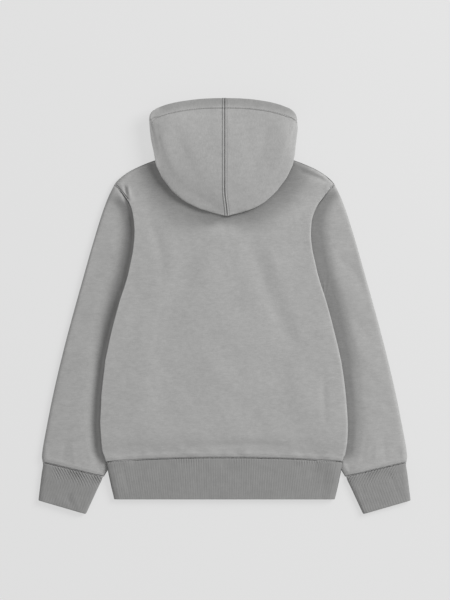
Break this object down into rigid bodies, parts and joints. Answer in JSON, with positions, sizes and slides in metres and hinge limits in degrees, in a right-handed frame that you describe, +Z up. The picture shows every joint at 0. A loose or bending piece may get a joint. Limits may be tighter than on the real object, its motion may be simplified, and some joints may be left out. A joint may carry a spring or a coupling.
{
  "type": "toddler hoodie",
  "caption": "Toddler's plain fleece pullover hoodie laid flat on its front, hood thrown back, with ribbed cuffs and hem.",
  "frame": {"origin": "on the surface it lies on, under the middle of the whole garment", "axes": "+Z up from the surface, +Y from the hem to the hood, +X to the right of a view from above"},
  "size_m": [0.4772, 0.533, 0.027],
  "materials": {
    "fleece": "brushed cotton fleece, matt",
    "rib_knit": "fine rib knit, matt"
  },
  "bodies": {
    "root": {"back_panel": "fleece", "front_panel": "fleece", "sleeve_left": "fleece", "sleeve_right": "fleece", "cuff_left": "rib_knit", "cuff_right": "rib_knit", "hem_rib": "rib_knit", "hood_left": "fleece", "hood_right": "fleece"}
  },
  "joints": []
}
